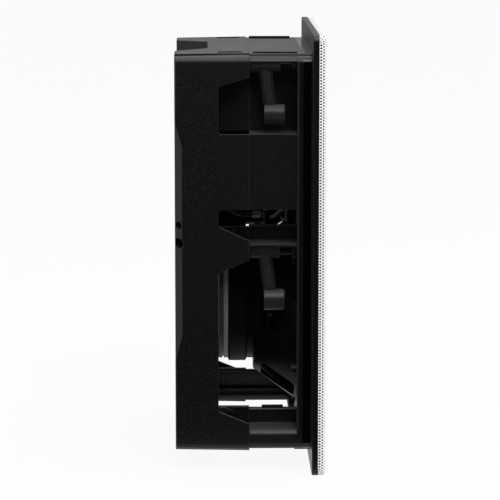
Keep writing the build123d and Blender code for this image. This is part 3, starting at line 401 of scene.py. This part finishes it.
def turning_marks(name):
    """Rings about an axis along Y, at a height, with a fine and uneven spacing."""
    tree, source, sink = new_group(name, {"Centre height": 0.0, "Scale": 2600.0}, ["Mark"])
    place = place_axes(tree)
    flat = add(tree, "ShaderNodeCombineXYZ")
    tree.links.new(place["X"], flat.inputs["X"])
    tree.links.new(calc(tree, "SUBTRACT", place["Z"], source.outputs["Centre height"]), flat.inputs["Y"])
    radius = add(tree, "ShaderNodeVectorMath", operation="LENGTH")
    tree.links.new(flat.outputs[0], radius.inputs[0])
    ring = add(tree, "ShaderNodeCombineXYZ")
    tree.links.new(radius.outputs["Value"], ring.inputs["X"])
    tree.links.new(place["Y"], ring.inputs["Y"])
    marks = add(tree, "ShaderNodeTexNoise", noise_dimensions="2D", detail=2.0)
    tree.links.new(ring.outputs[0], marks.inputs["Vector"])
    tree.links.new(source.outputs["Scale"], marks.inputs["Scale"])
    tree.links.new(marks.outputs["Fac"], sink.inputs["Mark"])
    return tree


# Finishes


def new_finish(name):
    """A new material with its tree and its Principled shader."""
    material = bpy.data.materials.new(name)
    material.use_nodes = True
    return material, material.node_tree, material.node_tree.nodes["Principled BSDF"]


def grained(name, tone, roughness, size, depth, edge=0.0, vary=0.15, specular=0.5, metallic=0.0):
    """A paint, rubber, cloth, plain plastic or plating, with a fine grain of a size and a depth."""
    material, tree, shader = new_finish(name)
    grain = place_group(tree, surface_grain, scale=1.0 / size)
    base = tint(tree, grain.outputs["Cloud"], tone, darker=1 - vary, lighter=1 + vary)
    tree.links.new(base, shader.inputs["Base Color"])
    gloss = uneven(tree, grain.outputs["Speckle"], roughness, drift=0.08)
    tree.links.new(gloss, shader.inputs["Roughness"])
    shader.inputs["Specular IOR Level"].default_value = specular
    shader.inputs["Metallic"].default_value = metallic
    relief(tree, shader, grain.outputs["Height"], depth, edge)
    return material


def moulded(name, mould, tone, depth, smooth_front=False):
    """Black plastic with a speckled grain, a painted highlight on its edges and painted light on the faces
    that look up.

    A smooth front has no grain near the flange, and a polished strip behind it.
    """
    material, tree, shader = new_finish(name)
    grain = place_group(tree, surface_grain, scale=1.0 / mould.grain)
    base = tint(tree, grain.outputs["Speckle"], tone, darker=0.2, lighter=1.8)
    height = grain.outputs["Height"]
    gloss = uneven(tree, grain.outputs["Speckle"], mould.roughness, drift=0.1)
    if smooth_front:
        back = place_axes(tree)["Y"]
        fade = 0.3 * MM
        etched = spread(tree, back, 0.0, 1.0, mould.grain_start - mould.grain, mould.grain_start)
        on_flange = spread(tree, back, 1.0, 0.0, mould.polish_start - fade, mould.polish_start)
        base = blend(tree, etched, opaque(mould.smooth_black), base)
        height = calc(tree, "MULTIPLY", height, etched)
        gloss = blend(tree, calc(tree, "MAXIMUM", etched, on_flange), mould.polish, gloss, kind="FLOAT")
    # Painted highlight: edges, convex and hollow alike, are lighter
    edge_highlight = place_group(tree, rubbed_edges, radius=mould.edge)
    base = blend(tree, edge_highlight.outputs["Amount"], base, opaque(mould.wear))
    # Painted light: faces that look up are lighter, in patches
    top_lit = place_group(tree, painted_top_light)
    base = blend(tree, top_lit.outputs["Amount"], base, opaque(mould.dust))
    tree.links.new(base, shader.inputs["Base Color"])
    tree.links.new(gloss, shader.inputs["Roughness"])
    shader.inputs["Specular IOR Level"].default_value = mould.gloss
    relief(tree, shader, height, depth, mould.edge)
    return material


def wound(name, tone, roughness, pitch, depth):
    """Enamelled wire wound in close turns."""
    material, tree, shader = new_finish(name)
    turns = place_group(tree, wire_turns, pitch=pitch)
    # Painted shade: the winding is darker in the grooves between its turns
    base = tint(tree, turns.outputs["Groove shade"], tone, darker=0.35, lighter=1.15)
    tree.links.new(base, shader.inputs["Base Color"])
    shader.inputs["Roughness"].default_value = roughness
    shader.inputs["Metallic"].default_value = 1.0
    relief(tree, shader, turns.outputs["Height"], depth)
    return material


def turned_zinc(name, tone, roughness, centre, depth, shade_from=None):
    """Greyed zinc plating with turning marks about an axis along Y. A painted shade may darken it behind a
    depth.
    """
    material, tree, shader = new_finish(name)
    marks = place_group(tree, turning_marks, centre_height=centre)
    base = tint(tree, marks.outputs["Mark"], tone, darker=0.2, lighter=1.4)
    # Painted shade: behind a depth, the plate's colour drops to a small share of its tone
    if shade_from is not None:
        fade = 0.6 * MM
        behind = spread(tree, place_axes(tree)["Y"], 0.0, 1.0, shade_from, shade_from + fade)
        shade_share = 0.15
        base = blend(tree, behind, base, opaque(part * shade_share for part in tone))
    tree.links.new(base, shader.inputs["Base Color"])
    tree.links.new(uneven(tree, marks.outputs["Mark"], roughness, drift=0.07), shader.inputs["Roughness"])
    shader.inputs["Metallic"].default_value = 0.2
    relief(tree, shader, marks.outputs["Mark"], depth)
    return material


def dress(material, *names):
    """Gives a material to CAD nodes."""
    for name in names:
        mesh = frame["nodes"][name].data
        mesh.materials.clear()
        mesh.materials.append(material)


def new_object(name, verts, faces, material):
    """A new object in the scene, from a mesh made in code."""
    mesh = bpy.data.meshes.new(name)
    mesh.from_pydata(verts, [], faces)
    mesh.update()
    mesh.materials.append(material)
    made = bpy.data.objects.new(name, mesh)
    bpy.context.scene.collection.objects.link(made)
    return made


# Grille


def sheet_lattice(pitch, hole, margin, across, up):
    """Corner points of staggered six-sided holes, as (column, row, corner) arrays.

    The pitch is stretched a little, so that the middles of the last holes lie a margin from the sheet's cut
    edges. One more line of holes, closed up on the edge, ends the sheet.
    """
    apart = pitch * math.cos(math.radians(30))  # from one column to the next, which is staggered
    columns = round((across - margin) / apart)
    rows = round((up - margin) / pitch)
    step, rise = (across - margin) / columns, (up - margin) / rows
    column = np.arange(-columns - 1, columns + 2)[:, None]
    row = np.arange(-rows - 1, rows + 2)[None, :]
    x, z = np.broadcast_arrays(column * step, row * rise + (column % 2) * rise / 2)
    around = np.radians(360 / HOLE_CORNERS * np.arange(HOLE_CORNERS))
    corners = np.stack(
        [x[..., None] + hole / 2 * np.cos(around), z[..., None] + hole / 2 * np.sin(around)], axis=-1
    )
    edge = np.array([across, up])
    return np.where(np.abs(corners) > edge - margin / 2, np.sign(corners) * edge, corners)


def lattice_faces(columns, rows):
    """Strips and three-cornered webs between neighbouring holes, as corner numbers."""

    def hole(column, row):
        """Numbers of one hole's corners, or none beyond the lattice."""
        first = (column * rows + row) * HOLE_CORNERS
        inside = 0 <= column < columns and 0 <= row < rows
        return range(first, first + HOLE_CORNERS) if inside else None

    faces = []
    for column in range(columns):
        lift = (column - columns // 2) % 2
        for row in range(rows):
            own, above = hole(column, row), hole(column, row + 1)
            left, right = hole(column - 1, row + lift), hole(column + 1, row + lift)
            right_below = hole(column + 1, row + lift - 1)
            if above:
                faces.append([own[1], above[5], above[4], own[2]])
            if right:
                faces.append([own[0], right[4], right[3], own[1]])
            if right and above:
                faces.append([own[1], right[3], above[5]])
            if right and right_below:
                faces.append([own[0], right_below[2], right[4]])
            if left:
                faces.append([own[2], left[0], left[5], own[3]])
    return faces


def folded(points, half_width, half_height, corner, fold, skirt, front):
    """Bends a flat sheet round the grille's front edge and cuts it off at the skirt's end.

    Returns the places and how far past the flat face each point lay.
    """
    inner = corner - fold
    core = np.array([half_width - corner, half_height - corner])
    beyond = np.maximum(np.abs(points) - core, 0.0)
    reach = np.linalg.norm(beyond, axis=-1)
    past = np.maximum(reach - inner, 0.0)
    outward = np.sign(points) * beyond / np.maximum(reach, TINY)[..., None]
    along = np.minimum(past, skirt)
    angle = np.minimum(along / fold, math.pi / 2)
    drop = np.maximum(along - fold * math.pi / 2, 0.0)
    base = points - outward * past[..., None]
    plan = base + outward * (fold * np.sin(angle))[..., None]
    depth = front + fold * (1 - np.cos(angle)) + drop
    return np.stack([plan[..., 0], depth, plan[..., 1]], axis=-1), past


def own_points(places, faces):
    """The points that some faces use, and the faces in the new numbers of those points."""
    used = sorted({n for face in faces for n in face})
    number = {n: place for place, n in enumerate(used)}
    return [tuple(places[n]) for n in used], [[number[n] for n in face] for face in faces]


class SPEAKER_OT_grille(bpy.types.Operator):
    """Perforated sheet with a folded skirt"""

    bl_idname = "speaker.grille"
    bl_label = "Grille"

    def execute(self, context):
        grille = settings("speaker_grille")
        paint = grained(
            "white powder coat", grille.paint, grille.roughness, size=0.35 * MM, depth=0.012 * MM, vary=0.03
        )
        half_width, half_height = GRILLE_HIGH.x - SHEET_INSET, GRILLE_HIGH.z - SHEET_INSET
        depth = GRILLE_HIGH.y - GRILLE_LOW.y - SHEET_INSET
        skirt = depth - grille.fold + grille.fold * math.pi / 2
        flat_across, flat_up = half_width - grille.fold + skirt, half_height - grille.fold + skirt
        corners = sheet_lattice(grille.pitch, grille.hole, grille.margin, flat_across, flat_up)
        radius, front = grille.corner - SHEET_INSET, GRILLE_LOW.y + SHEET_INSET
        places, past = folded(corners, half_width, half_height, radius, grille.fold, skirt, front)
        places, past = places.reshape(-1, 3), past.reshape(-1)
        columns, rows = corners.shape[:2]
        faces = [face for face in lattice_faces(columns, rows) if min(past[face]) < skirt - SHEET_INSET]
        flat = [face for face in faces if max(past[face]) == 0.0]
        parts = {"grille_skirt": [face for face in faces if max(past[face]) > 0.0]}
        # Three bands of the face, so that no mesh is very large
        third = half_height / 3
        bands = {"upper": (third, half_height), "middle": (-third, third), "lower": (-half_height, -third)}
        for band, (bottom, top) in bands.items():
            parts[f"grille_face_{band}"] = [face for face in flat if bottom <= places[face[0], 2] < top]
        for name, own in parts.items():
            piece = new_object(name, *own_points(places, own), paint)
            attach(piece, HOUSING)
            thicken = piece.modifiers.new("Sheet", "SOLIDIFY")
            thicken.thickness = grille.sheet
            thicken.offset = -1.0
            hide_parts("grille")
        return {"FINISHED"}


# Dressed solids


class SPEAKER_OT_mouldings(bpy.types.Operator):
    """Black plastic, grained on the frame and the cage and satin on the tweeter's housing"""

    bl_idname = "speaker.mouldings"
    bl_label = "Mouldings"

    def execute(self, context):
        mould = settings("speaker_moulding")
        plastic = moulded(
            "black grained moulding", mould, mould.grained_black, depth=0.12 * MM, smooth_front=True
        )
        dress(plastic, "front_frame", "rear_cage")
        fine = {"size": 0.4 * MM, "depth": 0.008 * MM, "edge": mould.edge}
        satin = grained("black satin moulding", mould.smooth_black, roughness=0.3, **fine)
        dress(satin, "tweeter_faceplate", "tweeter_chamber")
        return {"FINISHED"}


class SPEAKER_OT_clamps(bpy.types.Operator):
    """Swing-out clamps, every screw and the grille's magnets"""

    bl_idname = "speaker.clamps"
    bl_label = "Clamps and screws"

    def execute(self, context):
        mould = settings("speaker_moulding")
        driver = settings("speaker_driver")
        # Painted light: the clamps' plastic is a lighter copy of the frame's, standing in for light
        plastic = moulded("black clamp moulding, painted lighter", mould, mould.clamp_black, depth=0.2 * MM)
        steel = {"size": 0.3 * MM, "depth": 0.004 * MM, "edge": 0.15 * MM}
        plated = grained("plated screw steel", driver.zinc, roughness=0.32, metallic=1.0, **steel)
        blackened = grained("blackened screw steel", driver.basket, roughness=0.35, **steel)
        for name in frame["nodes"]:
            if name.startswith("clamp_screw"):
                dress(blackened, name)
            elif name.startswith("clamp"):
                dress(plastic, name)
        dress(plated, "case_screws", "board_screws")
        dress(blackened, "woofer_screws", "tweeter_screws", "grille_magnets")
        return {"FINISHED"}


class SPEAKER_OT_woofer(bpy.types.Operator):
    """Basket, cone, suspension and motor of the woofer"""

    bl_idname = "speaker.woofer"
    bl_label = "Woofer"

    def execute(self, context):
        driver = settings("speaker_driver")
        rounded = {"size": 0.5 * MM, "edge": 0.4 * MM}
        paint = grained(
            "black basket paint", driver.basket, roughness=0.34, depth=0.01 * MM, specular=0.03, **rounded
        )
        dress(paint, "woofer_basket", "woofer_front_plate")
        paper = grained(
            "coated paper", driver.paper, roughness=0.55, size=0.9 * MM, depth=0.05 * MM, vary=0.2
        )
        dress(paper, "woofer_cone", "woofer_dust_cap")
        rubber = grained("butyl rubber", driver.rubber, roughness=0.5, size=0.6 * MM, depth=0.01 * MM)
        dress(rubber, "woofer_surround")
        cloth = grained(
            "resin-dipped cloth", driver.cloth, roughness=0.7, size=0.7 * MM, depth=0.06 * MM, vary=0.2
        )
        dress(cloth, "woofer_spider")
        winding = wound("voice coil winding", driver.coil, roughness=0.3, pitch=0.4 * MM, depth=0.05 * MM)
        dress(winding, "woofer_voice_coil")
        ferrite = grained(
            "ferrite", driver.ferrite, roughness=0.6, depth=0.03 * MM, vary=0.3, specular=0.1, **rounded
        )
        dress(ferrite, "woofer_magnet")
        low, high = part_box("woofer_back_plate")
        marks = {"centre": (low.z + high.z) / 2, "depth": 0.01 * MM}
        plate = turned_zinc(
            "turned zinc plate with shaded rear", driver.zinc, roughness=0.5, shade_from=high.y - driver.shaded_rim, **marks
        )
        dress(plate, "woofer_back_plate")
        return {"FINISHED"}


class SPEAKER_OT_tweeter(bpy.types.Operator):
    """Dome and motor of the tweeter"""

    bl_idname = "speaker.tweeter"
    bl_label = "Tweeter"

    def execute(self, context):
        driver = settings("speaker_driver")
        silk = grained("coated silk", driver.silk, roughness=0.5, size=0.35 * MM, depth=0.02 * MM)
        dress(silk, "tweeter_dome")
        winding = wound("tweeter winding", driver.coil, roughness=0.3, pitch=0.3 * MM, depth=0.03 * MM)
        dress(winding, "tweeter_voice_coil")
        low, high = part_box("tweeter_magnet")
        marks = {"centre": (low.z + high.z) / 2, "depth": 0.006 * MM}
        plate = turned_zinc("tweeter plate", driver.zinc, roughness=0.3, **marks)
        dress(plate, "tweeter_front_plate", "tweeter_back_plate")
        ferrite = grained(
            "tweeter ferrite", driver.ferrite, roughness=0.6, size=0.5 * MM, depth=0.03 * MM, edge=0.3 * MM
        )
        dress(ferrite, "tweeter_magnet")
        return {"FINISHED"}


class SPEAKER_OT_crossover(bpy.types.Operator):
    """Crossover board with its pieces, push terminal, tag strip and leads"""

    bl_idname = "speaker.crossover"
    bl_label = "Crossover, terminal and leads"

    def execute(self, context):
        parts = settings("speaker_crossover")
        board = grained(
            "glass-fibre board", parts.board, roughness=0.4, size=0.8 * MM, depth=0.01 * MM, vary=0.25
        )
        dress(board, "crossover_board")
        coil = wound("inductor winding", parts.copper, roughness=0.28, pitch=parts.wire_pitch, depth=0.2 * MM)
        dress(coil, "woofer_inductor", "tweeter_inductor")
        film = grained(
            "capacitor film", parts.film, roughness=0.25, size=2.0 * MM, depth=0.02 * MM, edge=0.3 * MM
        )
        dress(film, "woofer_capacitor", "tweeter_capacitor")
        cement = grained("cement", parts.cement, roughness=0.8, size=0.5 * MM, depth=0.04 * MM, edge=0.3 * MM)
        dress(cement, "tweeter_resistor")
        resin = grained("tag board", parts.tag_board, roughness=0.5, size=0.5 * MM, depth=0.02 * MM)
        dress(resin, "woofer_tag_strip")
        sleeve = grained(
            "connector sleeve", parts.sleeve, roughness=0.45, size=0.4 * MM, depth=0.01 * MM, edge=0.2 * MM
        )
        dress(sleeve, "lead_connectors")
        glossy = {"roughness": 0.22, "size": 0.4 * MM, "depth": 0.004 * MM, "edge": 0.3 * MM}
        black = grained("black gloss plastic", parts.black, **glossy)
        dress(black, "terminal_block", "terminal_button_black")
        red = grained("red gloss plastic", parts.red, **glossy)
        dress(red, "terminal_button_red")
        for polarity, tone in (("positive", parts.red_sheath), ("negative", parts.dark_sheath)):
            sheath = grained(f"{polarity} sheath", tone, roughness=0.4, size=0.4 * MM, depth=0.01 * MM)
            dress(sheath, *[f"{end}_lead_{polarity}" for end in ("woofer", "tweeter", "terminal")])
        return {"FINISHED"}


# Stage


class SPEAKER_OT_stage(bpy.types.Operator):
    """Pale floor, soft light, cards for the reflections and the camera"""

    bl_idname = "speaker.stage"
    bl_label = "Stage"

    def execute(self, context):
        stage = settings("speaker_stage")
        self.floor(stage)
        self.world(stage)
        foot = CAD_BOX[0].z + 1.0 * MM
        near, far, top = -0.13, -2.3, 1.2
        self.card("black card", stage.black_card, [(near, foot), (far, foot), (far, top)])
        behind, top = 1.0, 0.8
        self.card("grey card", stage.grey_card, [(behind, foot), (behind, top)])
        self.lamp("top light", place=(0.25, 0.1, 1.6), size=1.6, watts=stage.top_light)
        self.lamp("side light", place=(-1.3, -0.4, 1.5), size=1.0, watts=stage.side_light)
        self.lamp("front light", place=(0.3, -1.6, 0.9), size=1.2, watts=stage.front_light)
        self.camera(stage)
        context.scene.view_settings.view_transform = "Standard"
        return {"FINISHED"}

    def seen(self, tree):
        """1 for the rays that show the background: from the camera, off a mirror or through glass."""
        path = add(tree, "ShaderNodeLightPath").outputs
        mirrored = calc(tree, "MAXIMUM", path["Is Camera Ray"], path["Is Glossy Ray"])
        return calc(tree, "MAXIMUM", mirrored, path["Is Transmission Ray"])

    def floor(self, stage):
        """A wide pale plane under the flange, nearly white to the camera and to mirrors."""
        material, tree, shader = new_finish("pale floor")
        tree.nodes.remove(shader)
        matt = add(tree, "ShaderNodeBsdfDiffuse")
        matt.inputs["Color"].default_value = opaque(stage.floor)
        glow = add(tree, "ShaderNodeEmission")
        glowing = calc(tree, "MULTIPLY", self.seen(tree), stage.floor_glow)
        mix_shaders(tree, glowing, matt, glow, "Material Output")
        low, reach = CAD_BOX[0].z, 15.0
        corners = [(-reach, -reach, low), (reach, -reach, low), (reach, reach, low), (-reach, reach, low)]
        floor = new_object("floor", corners, [[0, 1, 2, 3]], material)

    def world(self, stage):
        """Soft surround light, white to the camera, to mirrors and through glass."""
        world = bpy.data.worlds.new("soft surround")
        bpy.context.scene.world = world
        world.use_nodes = True
        tree = world.node_tree
        light, white = tree.nodes["Background"], add(tree, "ShaderNodeBackground")
        for background, strength in ((light, stage.surround), (white, 1.0)):
            background.inputs["Color"].default_value = WHITE
            background.inputs["Strength"].default_value = strength
        mix_shaders(tree, self.seen(tree), light, white, "World Output")

    def card(self, name, level, profile):
        """A card along Y, through points in X and Z, that only reflections show."""
        material, tree, shader = new_finish(name)
        tree.nodes.remove(shader)
        clear = add(tree, "ShaderNodeBsdfTransparent")
        tone = add(tree, "ShaderNodeEmission")
        tone.inputs["Color"].default_value = opaque((level, level, level))
        path = add(tree, "ShaderNodeLightPath")
        mix_shaders(tree, path.outputs["Is Glossy Ray"], clear, tone, "Material Output")
        reach = 1.1
        verts = [(x, y, z) for x, z in profile for y in (-reach, reach)]
        faces = [[2 * i, 2 * i + 1, 2 * i + 3, 2 * i + 2] for i in range(len(profile) - 1)]
        card = new_object(name, verts, faces, material)

    def lamp(self, name, place, size, watts):
        """A square soft light that faces the speaker."""
        data = bpy.data.lights.new(name, "AREA")
        data.size = size
        data.energy = watts
        lamp = bpy.data.objects.new(name, data)
        lamp.location = place
        lamp.rotation_euler = (-Vector(place)).to_track_quat("-Z", "Y").to_euler()
        bpy.context.scene.collection.objects.link(lamp)

    def camera(self, stage):
        """The camera of the photograph, beside the speaker and a little above it."""
        data = bpy.data.cameras.new("camera")
        data.lens = stage.lens
        data.sensor_width = SENSOR_WIDTH
        camera = bpy.data.objects.new("camera", data)
        camera.location = stage.camera
        level = math.cos(stage.pitch)
        forward = Vector((level * math.cos(stage.yaw), -level * math.sin(stage.yaw), -math.sin(stage.pitch)))
        camera.rotation_euler = forward.to_track_quat("-Z", "Y").to_euler()
        bpy.context.scene.collection.objects.link(camera)
        bpy.context.scene.camera = camera


# Add-on


class SPEAKER_PT_panel(bpy.types.Panel):
    """Lists the pieces and their settings in the sidebar"""

    bl_idname = "SPEAKER_PT_panel"
    bl_label = "In-wall speaker"
    bl_space_type = "VIEW_3D"
    bl_region_type = "UI"
    bl_category = "Speaker"

    def draw(self, context):
        for operator in OPERATORS:
            self.layout.operator(operator.bl_idname)
        for group, kind in GROUPS.items():
            box = self.layout.box()
            for name in kind.__annotations__:
                box.prop(getattr(context.scene, group), name)


OPERATORS = (
    SPEAKER_OT_grille,
    SPEAKER_OT_mouldings,
    SPEAKER_OT_clamps,
    SPEAKER_OT_woofer,
    SPEAKER_OT_tweeter,
    SPEAKER_OT_crossover,
    SPEAKER_OT_stage,
)
GROUPS = {
    "speaker_grille": GrilleSettings,
    "speaker_moulding": MouldingSettings,
    "speaker_driver": DriverSettings,
    "speaker_crossover": CrossoverSettings,
    "speaker_stage": StageSettings,
}


def register():
    for group, kind in GROUPS.items():
        bpy.utils.register_class(kind)
        setattr(bpy.types.Scene, group, bpy.props.PointerProperty(type=kind))
    for operator in OPERATORS:
        bpy.utils.register_class(operator)
    bpy.utils.register_class(SPEAKER_PT_panel)


def unregister():
    bpy.utils.unregister_class(SPEAKER_PT_panel)
    for operator in reversed(OPERATORS):
        bpy.utils.unregister_class(operator)
    for group, kind in reversed(GROUPS.items()):
        delattr(bpy.types.Scene, group)
        bpy.utils.unregister_class(kind)


def main():
    register()
    bpy.ops.speaker.grille()
    bpy.ops.speaker.mouldings()
    bpy.ops.speaker.clamps()
    bpy.ops.speaker.woofer()
    bpy.ops.speaker.tweeter()
    bpy.ops.speaker.crossover()
    bpy.ops.speaker.stage()


if __name__ == "__main__":
    main()
